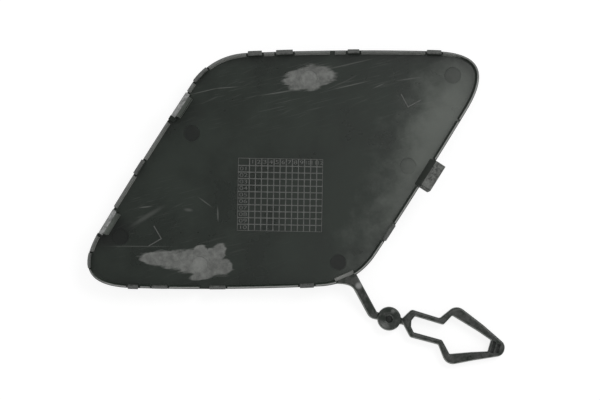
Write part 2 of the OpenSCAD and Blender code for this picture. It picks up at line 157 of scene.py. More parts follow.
class RimSizes(bpy.types.PropertyGroup):
    """The rim wall, its snap tabs and hooks, and the tongue"""

    lip: FloatProperty(name="Lip", description="Width of the lip outside the wall", default=0.2 * MM, unit="LENGTH")
    wall: FloatProperty(name="Wall", description="Thickness of the rim wall", default=0.75 * MM, unit="LENGTH")
    wall_height: FloatProperty(
        name="Wall height", description="Height of the wall above the plate's back", default=2.4 * MM, unit="LENGTH"
    )
    draft: FloatProperty(name="Draft", description="Draft on each side of the wall", default=0.06 * MM, unit="LENGTH")
    wall_chamfer: FloatProperty(
        name="Wall chamfer", description="Width of the chamfers on the wall's top", default=0.33 * MM, unit="LENGTH"
    )
    fillet: FloatProperty(
        name="Fillet", description="Fillet at the foot of the wall's inner side", default=0.1 * MM, unit="LENGTH"
    )
    slit: FloatProperty(
        name="Slit", description="Slit on each side of a snap tab", default=0.45 * MM, unit="LENGTH"
    )
    tab_height: FloatProperty(
        name="Tab height", description="Height of a snap tab above the plate's back", default=3.2 * MM, unit="LENGTH"
    )
    tab_proud: FloatProperty(
        name="Tab proud", description="How far a snap tab stands past the edge", default=0.35 * MM, unit="LENGTH"
    )
    tab_ramp: FloatProperty(
        name="Tab ramp", description="Height of the ramp on a snap tab", default=1.1 * MM, unit="LENGTH"
    )
    crest: FloatProperty(
        name="Crest", description="Width of the flat crest on tabs, hooks and lip", default=0.3 * MM, unit="LENGTH"
    )
    hook_length: FloatProperty(
        name="Hook length", description="Length of a snap hook along the edge", default=6.8 * MM, unit="LENGTH"
    )
    hook_height: FloatProperty(
        name="Hook height", description="Height of a snap hook", default=9 * MM, unit="LENGTH"
    )
    hook_leg: FloatProperty(
        name="Hook leg", description="Thickness of a hook's leg", default=1.5 * MM, unit="LENGTH"
    )
    hook_nose: FloatProperty(
        name="Hook nose", description="How far a hook's nose stands out", default=0.5 * MM, unit="LENGTH"
    )
    nose_height: FloatProperty(
        name="Nose height", description="Height of the nose's edge above the catch", default=1.8 * MM, unit="LENGTH"
    )
    hook_back: FloatProperty(
        name="Hook back", description="Width of the slope on a hook's inner side", default=0.8 * MM, unit="LENGTH"
    )
    hook_fall: FloatProperty(
        name="Hook fall", description="Fall of that slope from the hook's ridge", default=1.4 * MM, unit="LENGTH"
    )
    hook_trim: FloatProperty(
        name="Hook trim", description="How much shorter the slope is at each end", default=0.5 * MM, unit="LENGTH"
    )
    foot_length: FloatProperty(
        name="Foot length", description="Length of the foot beside the upper hook", default=1.2 * MM, unit="LENGTH"
    )
    foot_height: FloatProperty(
        name="Foot height", description="Height of that foot", default=3 * MM, unit="LENGTH"
    )
    foot_width: FloatProperty(
        name="Foot width", description="Width of that foot across the edge", default=1.65 * MM, unit="LENGTH"
    )
    grip: FloatProperty(
        name="Grip", description="Depth of the catches of hooks and tongue", default=6 * MM, unit="LENGTH"
    )
    relief: FloatProperty(
        name="Relief", description="Depth of the relief in the edge below a hook", default=0.3 * MM, unit="LENGTH"
    )
    tongue_length: FloatProperty(
        name="Tongue length", description="Length of the tongue's leg", default=7.4 * MM, unit="LENGTH"
    )
    lip_length: FloatProperty(
        name="Lip length", description="Length of the tongue's lip", default=6.9 * MM, unit="LENGTH"
    )
    tongue_height: FloatProperty(
        name="Tongue height", description="Height of the tongue", default=8.6 * MM, unit="LENGTH"
    )
    tongue_leg: FloatProperty(
        name="Tongue leg", description="Thickness of the tongue's leg", default=1.4 * MM, unit="LENGTH"
    )
    tongue_lean: FloatProperty(
        name="Tongue lean", description="How far the leg leans outwards", default=1.4 * MM, unit="LENGTH"
    )
    tongue_reach: FloatProperty(
        name="Tongue reach", description="How far the lip stands past the edge", default=2.55 * MM, unit="LENGTH"
    )
    tongue_edge: FloatProperty(
        name="Tongue edge", description="Thickness of the lip's edge", default=1.2 * MM, unit="LENGTH"
    )
    wing: FloatProperty(
        name="Wing", description="Length of the wing on the lip's lower end", default=0.85 * MM, unit="LENGTH"
    )
    wing_drop: FloatProperty(
        name="Wing drop", description="How far the wing lies below the lip", default=0.35 * MM, unit="LENGTH"
    )
    soft_edge: FloatProperty(
        name="Soft edge", description="Radius on the edges of rim and snaps", default=0.1 * MM, unit="LENGTH"
    )


class TetherSizes(bpy.types.PropertyGroup):
    """The strap, its disc and the arrow loop"""

    strap: FloatProperty(name="Strap", description="Width of the strap", default=2.4 * MM, unit="LENGTH")
    thickness: FloatProperty(name="Thickness", description="Thickness of the strap", default=1.6 * MM, unit="LENGTH")
    length: FloatProperty(
        name="Length", description="Length of the strap from rim to bend", default=10.2 * MM, unit="LENGTH"
    )
    heading: FloatProperty(
        name="Heading", description="Heading of the strap", default=math.radians(-61.7), subtype="ANGLE"
    )
    gap: FloatProperty(
        name="Gap", description="Height of the tether above the table", default=0.3 * MM, unit="LENGTH"
    )
    root_in: FloatProperty(
        name="Root", description="How far the strap's root reaches into the rim", default=1 * MM, unit="LENGTH"
    )
    root_drop: FloatProperty(
        name="Drop", description="Where the strap starts to come down", default=2.9 * MM, unit="LENGTH"
    )
    flare: FloatProperty(
        name="Flare", description="Flare on the lower side of the root", default=3.3 * MM, unit="LENGTH"
    )
    flare_back: FloatProperty(
        name="Flare back", description="How far the flare goes back along the strap", default=0.5 * MM, unit="LENGTH"
    )
    web_length: FloatProperty(
        name="Web length", description="Length of the web on the rim", default=5.2 * MM, unit="LENGTH"
    )
    web_height: FloatProperty(
        name="Web height", description="Height of the web above the plate's back", default=1.9 * MM, unit="LENGTH"
    )
    web: FloatProperty(name="Web", description="Thickness of the web", default=1 * MM, unit="LENGTH")
    web_in: FloatProperty(
        name="Web in", description="How far the web stays inside the edge", default=0.75 * MM, unit="LENGTH"
    )
    link: FloatProperty(
        name="Link", description="Width of the link between strap and disc", default=1.9 * MM, unit="LENGTH"
    )
    disc: FloatProperty(name="Disc", description="Radius of the disc", default=2.98 * MM, unit="LENGTH")
    disc_height: FloatProperty(
        name="Disc height", description="Thickness of the disc", default=2.4 * MM, unit="LENGTH"
    )
    dimple: FloatProperty(name="Dimple", description="Radius of the dimple", default=0.85 * MM, unit="LENGTH")
    dimple_depth: FloatProperty(
        name="Dimple depth", description="Depth of the dimple", default=0.8 * MM, unit="LENGTH"
    )
    neck: FloatProperty(name="Neck", description="Width of the neck", default=1.6 * MM, unit="LENGTH")
    chamfer: FloatProperty(
        name="Chamfer", description="Chamfer along the tether's edges", default=0.48 * MM, unit="LENGTH"
    )


class LoopSizes(bpy.types.PropertyGroup):
    """The flat arrow-shaped loop"""

    heading: FloatProperty(
        name="Heading", description="Heading of the loop", default=math.radians(-16.2), subtype="ANGLE"
    )
    tail_length: FloatProperty(
        name="Tail length", description="Length of the loop's tail", default=9.3 * MM, unit="LENGTH"
    )
    tail_width: FloatProperty(
        name="Tail width", description="Width of the tail over its bars", default=6.8 * MM, unit="LENGTH"
    )
    tail_bar: FloatProperty(
        name="Tail bar", description="Thickness of a tail bar", default=1.45 * MM, unit="LENGTH"
    )
    head_length: FloatProperty(
        name="Head length", description="Length of the head", default=17 * MM, unit="LENGTH"
    )
    head_width: FloatProperty(
        name="Head width", description="Width of the head over its barbs", default=14.4 * MM, unit="LENGTH"
    )
    barb_bar: FloatProperty(
        name="Barb bar", description="Thickness of the head at a barb", default=2.5 * MM, unit="LENGTH"
    )
    barb_radius: FloatProperty(
        name="Barb radius", description="Radius on a barb", default=2.6 * MM, unit="LENGTH"
    )
    barb_slant: FloatProperty(
        name="Barb slant", description="Shift of a barb along the loop for its distance from the middle", default=0.11
    )
    tail_slant: FloatProperty(
        name="Tail slant", description="Shift of the tail's corners, measured in the same way", default=0.22
    )
    nose: FloatProperty(
        name="Nose", description="Width of the nose before rounding", default=2.9 * MM, unit="LENGTH"
    )
    thickness: FloatProperty(name="Thickness", description="Thickness of the loop", default=2 * MM, unit="LENGTH")
    pocket_depth: FloatProperty(
        name="Pocket depth", description="Depth of the pockets in the nose", default=0.8 * MM, unit="LENGTH"
    )


class LineSizes(bpy.types.PropertyGroup):
    """The raised lines of the date table and the corner marks"""

    width: FloatProperty(name="Width", description="Width of a raised line", default=0.25 * MM, unit="LENGTH")
    height: FloatProperty(name="Height", description="Height of a raised line", default=0.15 * MM, unit="LENGTH")
    columns: IntProperty(name="Columns", description="Columns of the date table", default=12)
    rows: IntProperty(name="Rows", description="Rows of the date table", default=10)
    column: FloatProperty(name="Column", description="Width of a column", default=1.53 * MM, unit="LENGTH")
    row: FloatProperty(name="Row", description="Height of a row", default=1.63 * MM, unit="LENGTH")
    head_column: FloatProperty(
        name="Head column", description="Width of the head column", default=2.85 * MM, unit="LENGTH"
    )
    head_row: FloatProperty(name="Head row", description="Height of the head row", default=1.9 * MM, unit="LENGTH")
    corner: FloatVectorProperty(
        name="Corner",
        description="Upper left corner of the table",
        default=(-11.3 * MM, 3 * MM),
        size=2,
        unit="LENGTH",
    )
    turn: FloatProperty(
        name="Turn", description="Turn of the table on the plate", default=math.radians(-1.2), subtype="ANGLE"
    )
    digit: FloatProperty(name="Digit", description="Height of a number", default=1 * MM, unit="LENGTH")
    arm: FloatProperty(name="Arm", description="Arm of a corner mark", default=3.8 * MM, unit="LENGTH")


class PlasticLook(bpy.types.PropertyGroup):
    """Colours of the plastic as moulded and where rubbing lightens it, and the colours of painted light on it"""

    body: FloatVectorProperty(
        name="Plastic", description="Plastic as moulded", default=(0.017, 0.024, 0.018), size=3, subtype="COLOR"
    )
    shade: FloatVectorProperty(
        name="Shade", description="Darker clouds in the plastic", default=(0.016, 0.019, 0.016), size=3, subtype="COLOR"
    )
    # Grey of the rim's top where rubbing lightens it; the same grey paints light on the upward faces of tabs, tongue,
    # tether and raised lines, and a painted highlight on the tether's lower-left faces
    rubbed_and_lit: FloatVectorProperty(
        name="Rubbed", description="Top of the rim where it is rubbed", default=(0.1, 0.105, 0.098), size=3,
        subtype="COLOR",
    )
    # Painted highlight: light grey on the hooks' upward and sloped faces, and on the strap's bend
    painted_highlight: FloatVectorProperty(
        name="Strained", description="Whitened plastic on the hooks", default=(0.26, 0.265, 0.26), size=3,
        subtype="COLOR",
    )
    # Painted light: grey of the painted sheen along the right edge, and of the hooks' inner slopes
    painted_light: FloatVectorProperty(
        name="Bloom", description="Grey bloom along the right edge", default=(0.118, 0.13, 0.116), size=3,
        subtype="COLOR",
    )
    smear: FloatVectorProperty(
        name="Smear", description="Grey smears on the back", default=(0.17, 0.175, 0.165), size=3, subtype="COLOR"
    )
    roughness: FloatProperty(name="Roughness", description="Roughness of the plastic", default=0.3)


class StageLook(bpy.types.PropertyGroup):
    """Camera, lamps and floor"""

    camera_x: FloatProperty(name="Camera X", description="Camera over this X", default=4.1 * MM, unit="LENGTH")
    camera_y: FloatProperty(name="Camera Y", description="Camera over this Y", default=-7.6 * MM, unit="LENGTH")
    distance: FloatProperty(
        name="Distance", description="Camera's height above the plate", default=700 * MM, unit="LENGTH"
    )
    field: FloatProperty(
        name="Field", description="Width that the camera takes in", default=150 * MM, unit="LENGTH"
    )
    roll: FloatProperty(name="Roll", description="Camera's roll", default=math.radians(-0.17), subtype="ANGLE")
    sky: FloatProperty(name="Sky", description="Strength of the world overhead", default=0.3)
    horizon: FloatProperty(name="Horizon", description="Strength of the world at the horizon", default=1.0)
    glow: FloatProperty(name="Glow", description="Strength of the soft glow beside the camera", default=1.4)
    glow_x: FloatProperty(name="Glow X", description="Direction of the glow along X", default=-0.2)
    glow_y: FloatProperty(name="Glow Y", description="Direction of the glow along Y", default=0.2)
    key_size: FloatProperty(name="Key size", description="Side of the key lamp", default=0.6, unit="LENGTH")
    key_power: FloatProperty(name="Key power", description="Power of the key lamp", default=5.5)
    floor_size: FloatProperty(name="Floor size", description="Side of the floor", default=6, unit="LENGTH")


def sizes(name):
    """The property group of that name on the scene"""
    return getattr(bpy.context.scene, "cover_" + name)


def unit_left(v):
    """Unit vector to the left of v, which points outwards on a clockwise outline"""
    return Vector((-v.y, v.x)).normalized()


class Edge:
    """The plate's outline, as a curve of places"""

    def __init__(self, s):
        half, tall, lean = s.length / 2, s.height / 2, s.lean / 2
        self.corners = [
            Vector((-half + lean, tall)),
            Vector((half + lean, tall)),
            Vector((half - lean, -tall)),
            Vector((-half - lean, -tall)),
        ]
        self.bows = [s.long_bow, s.end_bow] * 2
        self.reaches = [s.blunt_reach, s.sharp_reach] * 2
        self.fulls = [s.blunt_full, s.sharp_full] * 2
        self.back = s.thickness
        fine = 60
        self.marks = [k / fine for k in range(STRETCHES * fine + 1)]
        self.lengths = [0.0]
        for a, b in zip(self.marks, self.marks[1:]):
            self.lengths.append(self.lengths[-1] + (self.at(b) - self.at(a)).length)

    def chord(self, i):
        return self.corners[(i + 1) % 4] - self.corners[i]

    def side(self, i, t):
        """Point of side i, a parabola that bows outwards"""
        return self.corners[i] + t * self.chord(i) + 4 * self.bows[i] * t * (1 - t) * unit_left(self.chord(i))

    def side_heading(self, i, t):
        return (self.chord(i) + 4 * self.bows[i] * (1 - 2 * t) * unit_left(self.chord(i))).normalized()

    def first(self, i):
        return self.reaches[i] / self.chord(i).length

    def last(self, i):
        return 1 - self.reaches[(i + 1) % 4] / self.chord(i).length

    def handles(self, i):
        """The four points of the cubic that rounds the corner after side i"""
        j = (i + 1) % 4
        a, b = self.side(i, self.last(i)), self.side(j, self.first(j))
        pull = self.reaches[j] * self.fulls[j]
        return [
            a,
            a + pull * self.side_heading(i, self.last(i)),
            b - pull * self.side_heading(j, self.first(j)),
            b,
        ]

    def at(self, place):
        """Point of the outline at a place"""
        k = math.floor(place) % STRETCHES
        f = place - math.floor(place)
        i = k // 2
        if k % 2 == 0:
            return self.side(i, self.first(i) + f * (self.last(i) - self.first(i)))
        h = self.handles(i)
        g = 1 - f
        return g**3 * h[0] + 3 * f * g**2 * h[1] + 3 * f**2 * g * h[2] + f**3 * h[3]

    def out(self, place):
        """Outward direction at a place"""
        k = math.floor(place) % STRETCHES
        f = place - math.floor(place)
        i = k // 2
        if k % 2 == 0:
            return unit_left(self.side_heading(i, self.first(i) + f * (self.last(i) - self.first(i))))
        h = self.handles(i)
        g = 1 - f
        return unit_left(g**2 * (h[1] - h[0]) + 2 * f * g * (h[2] - h[1]) + f**2 * (h[3] - h[2]))

    def stand(self, place):
        """Matrix at a place: X outwards, Y along the edge and Z from the plate's back"""
        p, o = self.at(place), self.out(place)
        turn = Matrix.Rotation(math.atan2(o.y, o.x), 4, "Z")
        return Matrix.Translation((p.x, p.y, self.back)) @ turn

    def distance(self, place):
        """Length of the outline from its start to a place"""
        x = place * (len(self.marks) - 1) / STRETCHES
        k = min(int(x), len(self.marks) - 2)
        return self.lengths[k] + (x - k) * (self.lengths[k + 1] - self.lengths[k])

    def place(self, distance):
        """Place at a length along the outline"""
        total = self.lengths[-1]
        d = distance % total
        for k, (a, b) in enumerate(zip(self.lengths, self.lengths[1:])):
            if a <= d <= b:
                return self.marks[k] + (d - a) / (b - a) * (self.marks[k + 1] - self.marks[k])
        return self.marks[-1]


def across(p):
    """Distance of a point from the crown's lowest line"""
    lean = sizes("plate").crown_lean
    return p[0] * math.cos(lean) - p[1] * math.sin(lean)


def crowned_height(p, z):
    """Height above the table of what lies z above the outer face, at a point"""
    r = sizes("plate").crown_radius
    return r - math.sqrt((r - z) ** 2 - across(p) ** 2)


def bend_to_crown(bm, strip=None):
    """Bends flat work to the plate's crown, after cutting it into strips along the crown's axis"""
    lean = sizes("plate").crown_lean
    normal = Vector((math.cos(lean), -math.sin(lean), 0))
    if strip:
        reach = max(abs(across(v.co)) for v in bm.verts)
        count = int(reach / strip)
        for n in range(-count, count + 1):
            bmesh.ops.bisect_plane(
                bm, geom=bm.verts[:] + bm.edges[:] + bm.faces[:], dist=1e-7, plane_co=normal * n * strip, plane_no=normal
            )
    for v in bm.verts:
        v.co.z = crowned_height(v.co, v.co.z)


def new_piece(name, bm, material, soft_edge=0.0, angle=35):
    """Makes the finished object of a mesh, which rides on the body and stands for the CAD node"""
    bmesh.ops.recalc_face_normals(bm, faces=bm.faces)
    mesh = bpy.data.meshes.new(name)
    bm.to_mesh(mesh)
    bm.free()
    mesh.shade_smooth()
    mesh.set_sharp_from_angle(angle=math.radians(angle))
    piece = bpy.data.objects.new(name, mesh)
    bpy.context.scene.collection.objects.link(piece)
    for m in material if isinstance(material, list) else [material]:
        mesh.materials.append(m)
    if soft_edge:
        bevel = piece.modifiers.new("soft edges", "BEVEL")
        bevel.width = soft_edge
        bevel.segments = 2
        bevel.limit_method = "ANGLE"
        bevel.angle_limit = math.radians(angle)
        bevel.harden_normals = True
    else:
        even = piece.modifiers.new("even shading", "WEIGHTED_NORMAL")
        even.keep_sharp = True
    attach(piece, BODY)
    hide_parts(NODE)
    return piece


def face_of(bm, points, z=0.0):
    """Flat face through points"""
    return bm.faces.new([bm.verts.new((p[0], p[1], z)) for p in points])


def raise_faces(bm, faces, height):
    """Extrudes faces straight up and returns the new top faces"""
    made = bmesh.ops.extrude_face_region(bm, geom=list(faces))["geom"]
    bmesh.ops.translate(bm, verts=[g for g in made if isinstance(g, bmesh.types.BMVert)], vec=(0, 0, height))
    return [g for g in made if isinstance(g, bmesh.types.BMFace)]


def sweep(bm, section, stands):
    """Carries a section, given as (outwards, upwards), from stand to stand"""
    start = stands[0]
    face = bm.faces.new([bm.verts.new(start @ Vector((x, 0, z))) for x, z in section])
    for a, b in zip(stands, stands[1:]):
        made = bmesh.ops.extrude_face_region(bm, geom=[face])["geom"]
        verts = [g for g in made if isinstance(g, bmesh.types.BMVert)]
        face = next(g for g in made if isinstance(g, bmesh.types.BMFace))
        bmesh.ops.transform(bm, matrix=b @ a.inverted(), verts=verts)


def edge_bar(bm, edge, place, length, section, shift=0.0, drop=0.0):
    """Straight bar along the edge, centred on a place and shifted along it"""
    stand = edge.stand(place)
    ends = [stand @ Matrix.Translation((0, shift + side * length / 2, -drop)) for side in (-1, 1)]
    sweep(bm, section, ends)


def edge_strip(bm, edge, place, length, section):
    """Bar that follows the edge, centred on a place"""
    middle = edge.distance(place)
    count = max(1, math.ceil(length / (1.2 * MM)))
    stands = [edge.stand(edge.place(middle + length * (n / count - 0.5))) for n in range(count + 1)]
    sweep(bm, section, stands)


def slice_off(bm, point, normal):
    """Cuts off what lies on the normal's side of a plane, and closes the cut"""
    cut = bmesh.ops.bisect_plane(
        bm,
        geom=bm.verts[:] + bm.edges[:] + bm.faces[:],
        dist=1e-7,
        plane_co=point,
        plane_no=normal,
        clear_outer=True,
    )["geom_cut"]
    bmesh.ops.holes_fill(bm, edges=[g for g in cut if isinstance(g, bmesh.types.BMEdge)])


def join(bm, other):
    """Adds a mesh to another"""
    mesh = bpy.data.meshes.new("part")
    other.to_mesh(mesh)
    other.free()
    bm.from_mesh(mesh)
    bpy.data.meshes.remove(mesh)


def cut_with(bm, cutter):
    """Takes a cutter mesh out of a mesh with an applied Boolean, and returns the new mesh"""
    objects = []
    for name, part in (("work", bm), ("cutter", cutter)):
        mesh = bpy.data.meshes.new(name)
        bmesh.ops.recalc_face_normals(part, faces=part.faces)
        part.to_mesh(mesh)
        part.free()
        obj = bpy.data.objects.new(name, mesh)
        bpy.context.scene.collection.objects.link(obj)
        objects.append(obj)
    work, tool = objects
    boolean = work.modifiers.new("cut", "BOOLEAN")
    boolean.object = tool
    boolean.operation = "DIFFERENCE"
    boolean.solver = "EXACT"
    done = bmesh.new()
    done.from_object(work, bpy.context.evaluated_depsgraph_get())
    for obj in objects:
        mesh = obj.data
        bpy.data.objects.remove(obj)
        bpy.data.meshes.remove(mesh)
    return done


def corner_arc(a, b, c, radius, steps=6):
    """Points of the arc that rounds corner b of the path a, b, c"""
    to_a, to_c = (a - b).normalized(), (c - b).normalized()
    half = to_a.angle(to_c) / 2
    middle = b + (to_a + to_c).normalized() * radius / math.sin(half)
    first, last = (b + v * radius / math.tan(half) - middle for v in (to_a, to_c))
    turn = first.angle_signed(last)
    return [middle + Matrix.Rotation(-turn * n / steps, 2) @ first for n in range(steps + 1)]


def rounded(points, radii):
    """Closed path through points with its corners rounded"""
    count = len(points)
    path = []
    for i, (p, r) in enumerate(zip(points, radii)):
        path += corner_arc(points[i - 1], p, points[(i + 1) % count], r)
    return path


class Nodes:
    """Small helper that adds nodes to a material and links them"""

    def __init__(self, tree):
        self.tree = tree

    def add(self, kind, values=(), **settings):
        node = self.tree.nodes.new(kind)
        for key, value in settings.items():
            setattr(node, key, value)
        for key, value in dict(values).items():
            if isinstance(value, bpy.types.NodeSocket):
                self.tree.links.new(value, node.inputs[key])
            else:
                node.inputs[key].default_value = value
        return node

    def math(self, operation, a, b=0.0):
        return self.add("ShaderNodeMath", {0: a, 1: b}, operation=operation).outputs[0]

    def ramp(self, value, low, high, to_low=0.0, to_high=1.0):
        """Value carried smoothly from one range to another"""
        found = self.add(
            "ShaderNodeMapRange",
            {"Value": value, "From Min": low, "From Max": high, "To Min": to_low, "To Max": to_high},
            interpolation_type="SMOOTHSTEP",
        )
        return found.outputs[0]

    def mix(self, share, a, b):
        """Colour a where share is 0 and b where it is 1"""
        found = self.add("ShaderNodeMix", {0: share, 6: a, 7: b}, data_type="RGBA")
        return found.outputs[2]

    def noise(self, where, scale, detail=3.0, roughness=0.55, distortion=0.0):
        found = self.add(
            "ShaderNodeTexNoise",
            {"Vector": where, "Scale": scale, "Detail": detail, "Roughness": roughness, "Distortion": distortion},
        )
        return found.outputs["Fac"]

    def drawn_out(self, where, heading, stretch):
        """Coordinates in which noise is drawn out along a heading"""
        found = self.add(
            "ShaderNodeMapping",
            {"Vector": where, "Rotation": (0, 0, math.radians(heading)), "Scale": (stretch, 1, 1)},
            vector_type="TEXTURE",
        )
        return found.outputs[0]

    def spot(self, where, centre, half_length, half_width, heading, soft=0.25, uneven=0.0):
        """1 inside an ellipse on the plate, fading to 0 over its soft border, which can be uneven"""
        local = self.add(
            "ShaderNodeMapping",
            {
                "Vector": where,
                "Location": (centre[0], centre[1], 0),
                "Rotation": (0, 0, math.radians(heading)),
                "Scale": (half_length, half_width, 1),
            },
            vector_type="TEXTURE",
        ).outputs[0]
        size = self.add("ShaderNodeVectorMath", {0: local}, operation="LENGTH").outputs["Value"]
        return self.ramp(self.math("ADD", size, uneven), 1 + soft, 1 - soft)


def rgba(colour):
    return (*colour, 1.0)


# Thin light scratches on the back: from x, y to x, y, then half their width and their strength
SCRATCHES = [
    ((-22.9, 18.9), (-16.4, 20.4), 0.1, 0.5),
    ((-17, 20.3), (-11.9, 20.7), 0.1, 0.5),
    ((-4.7, 18.7), (2.8, 19.9), 0.12, 0.5),
    ((13.1, 20.2), (20.6, 21.9), 0.12, 0.45),
    ((22.8, 20.4), (25.1, 21.4), 0.12, 0.4),
    ((28.8, 22.2), (33.8, 22.9), 0.12, 0.4),
    ((11.6, 25.2), (21.3, 27.4), 0.14, 0.35),
    ((-37.4, -13.6), (-30.9, -9.6), 0.5, 0.25),
    ((-35.9, -9.4), (-33.2, -9.1), 0.15, 0.5),
    ((-16.5, -9.6), (-16.4, -12.6), 0.15, 0.5),
    ((-20.9, -7.1), (-18.2, -9.1), 0.12, 0.4),
    ((-24.7, -9.9), (-22.9, -10.1), 0.35, 0.3),
    ((-42.9, -19), (-30, -19.1), 0.12, 0.3),
]
# Grey smears on the back, as ellipses: centre, half length, half width and heading
SMEARS = [
    ((6.6, 23), 6.2, 3, 8),
    ((-21.3, -23.4), 8, 3.2, -8),
    ((-28.8, -22.5), 6.9, 2, -8),
    ((-33, -22.4), 3.2, 0.8, -4),
    ((-20.8, -20.3), 1.7, 1.5, 0),
    ((-16.5, -21.2), 3, 1.8, 68),
    ((-17.8, -22), 2.6, 2.4, 0),
    ((-15.2, -24.2), 2.4, 2.1, 0),
    ((-20.5, -26.5), 3.4, 1, 6),
]
# Places with many fine scratches: centre, half length, half width, heading, strength
SCUFFS = [
    ((2, 20.5), 34, 8.5, 10, 0.5),
    ((-34, -11), 12, 7, 25, 0.45),
    ((36, 10), 12, 18, 20, 0.3),
    ((-20, -21), 22, 7, 5, 0.3),
]
# Painted reflection along the right edge, a grey sheen: centre, half length, half width and heading
PAINTED_SHEEN = ((42, 7.5), 33, 9.2, 60)
# Painted shadows beside the two hooks, then a faint darkening over the middle: centre, half length, half width,
# heading, strength
DARK_PATCHES = [
    ((-42.6, -15.7), 4.6, 3, 35, 0.95),
    ((-22.5, 13.6), 4.5, 2.6, 60, 0.35),
    ((0, -4), 22, 16, 0, 0.1),
]


def moulded_plastic(name, base, top=None, marks_and_light=False, grain=1.0, mottle=0.25, patches=(), upward_range=(0.35, 0.85), lit_side=None):
    """Black polypropylene as moulded. Its upward faces can take another colour, for rubbing and for painted light from
    above, and faces turned one way can take painted light.
    """
    look = sizes("plastic")
    material = bpy.data.materials.new(name)
    material.use_nodes = True
    nodes = Nodes(material.node_tree)
    shader = material.node_tree.nodes["Principled BSDF"]
    where = nodes.add("ShaderNodeTexCoord").outputs["Object"]

    clouds = nodes.noise(where, 90, 4, 0.6)
    speckle = nodes.noise(where, 2600, 2, 0.6)
    dark = tuple(c * 0.72 for c in base)
    colour = nodes.mix(nodes.ramp(clouds, 0.35, 0.65), rgba(dark), rgba(base))
    rough = nodes.ramp(clouds, 0.3, 0.7, look.roughness - 0.04, look.roughness + 0.05)

    # Upward faces take the top colour: painted light from above, with rubbing on the rim's top
    if top:
        normal = nodes.add("ShaderNodeNewGeometry").outputs["Normal"]
        up = nodes.add("ShaderNodeSeparateXYZ", {0: normal}).outputs["Z"]
        uneven = nodes.math("ADD", nodes.math("MULTIPLY", nodes.noise(where, 700, 3, 0.7), 0.5), -0.25)
        rubbed_and_lit = nodes.ramp(nodes.math("ADD", up, uneven), *upward_range)
        patch = nodes.ramp(nodes.noise(where, 1100, 4, 0.75), 0.32, 0.68)
        low, high = ([c * (1 + side * mottle) for c in top] for side in (-1, 1))
        colour = nodes.mix(rubbed_and_lit, colour, nodes.mix(patch, rgba(low), rgba(high)))
        rough = nodes.math("ADD", rough, nodes.math("MULTIPLY", rubbed_and_lit, 0.12))
        # Painted light: faces turned towards a heading take a lighter colour
        if lit_side:
            paint, heading, low = lit_side
            facing = nodes.add("ShaderNodeVectorMath", {0: normal, 1: heading}, operation="DOT_PRODUCT")
            side = nodes.ramp(nodes.math("ADD", facing.outputs["Value"], uneven), low, low + 0.25)
            colour = nodes.mix(side, colour, rgba(paint))

    # Marks on the plate's back: smears, scratches and scuffs, with painted shadows, painted shade in pin marks and a
    # painted sheen
    if marks_and_light:
        deep = tuple(c * 0.3 for c in base)
        # Painted shade: shadows beside the hooks and a faint darkening over the middle
        for centre, length, width, heading, strength in DARK_PATCHES:
            dark_patch = nodes.spot(where, [c * MM for c in centre], length * MM, width * MM, heading, 0.5)
            dark_patch = nodes.math("MULTIPLY", dark_patch, strength)
            colour = nodes.mix(dark_patch, colour, rgba(deep))
        # Painted reflection: a grey sheen along the right edge, with an uneven border
        centre, length, width, heading = PAINTED_SHEEN
        sheen_border = nodes.math("MULTIPLY", nodes.math("SUBTRACT", nodes.noise(where, 120, 5, 0.65), 0.5), 2.4)
        painted_light = nodes.spot(where, [c * MM for c in centre], length * MM, width * MM, heading, 0.9, sheen_border)
        colour = nodes.mix(nodes.math("MULTIPLY", painted_light, 0.95), colour, rgba(look.painted_light))
        streaks = nodes.noise(nodes.drawn_out(where, 8, 5), 900, 4, 0.65)
        ragged = nodes.math("MULTIPLY", nodes.math("SUBTRACT", streaks, 0.5), 1.0)
        smear = None
        for centre, length, width, heading in SMEARS:
            one = nodes.spot(where, [c * MM for c in centre], length * MM, width * MM, heading, 0.14, ragged)
            smear = nodes.math("MAXIMUM", smear, one) if smear else one
        patchy = nodes.ramp(nodes.noise(where, 650, 5, 0.7), 0.3, 0.72)
        tone = nodes.mix(patchy, rgba([c * 0.6 for c in look.smear]), rgba([c * 1.2 for c in look.smear]))
        fine = nodes.noise(nodes.drawn_out(where, 13, 26), 3000, 2, 0.5)
        coarse = nodes.noise(nodes.drawn_out(where, 24, 18), 1700, 2, 0.5)
        scuffed = nodes.math("ADD", nodes.ramp(fine, 0.58, 0.74), nodes.ramp(coarse, 0.62, 0.76))
        region = None
        for centre, length, width, heading, strength in SCUFFS:
            one = nodes.spot(where, [c * MM for c in centre], length * MM, width * MM, heading, 0.6)
            one = nodes.math("MULTIPLY", one, strength)
            region = nodes.math("MAXIMUM", region, one) if region else one
        scuffed = nodes.math("MULTIPLY", scuffed, nodes.math("MULTIPLY", region, 0.3))
        scratch = scuffed
        for start, end, width, strength in SCRATCHES:
            a, b = Vector(start) * MM, Vector(end) * MM
            run = b - a
            one = nodes.spot(
                where, (a + b) / 2, run.length / 2, width * MM, math.degrees(math.atan2(run.y, run.x)), 0.7
            )
            scratch = nodes.math("MAXIMUM", scratch, nodes.math("MULTIPLY", one, strength))
        colour = nodes.mix(scratch, colour, rgba(look.smear))
        colour = nodes.mix(nodes.math("MULTIPLY", smear, 0.93), colour, tone)
        rough = nodes.math("ADD", rough, nodes.math("MULTIPLY", smear, 0.25))
        radius = sizes("plate").pin_radius
        blotchy = nodes.math("MULTIPLY", nodes.math("SUBTRACT", clouds, 0.5), 0.8)
        # Ejector-pin marks: the dark ones carry painted shade, the light ones a lighter smear grey
        for x, y, shade in PIN_MARKS:
            disc = nodes.spot(where, (x, y), radius, radius, 0, 0.12, blotchy)
            target = [c * 1.7 for c in look.smear] if shade > 0 else deep
            disc = nodes.math("MULTIPLY", disc, abs(shade))
            colour = nodes.mix(disc, colour, rgba(target))

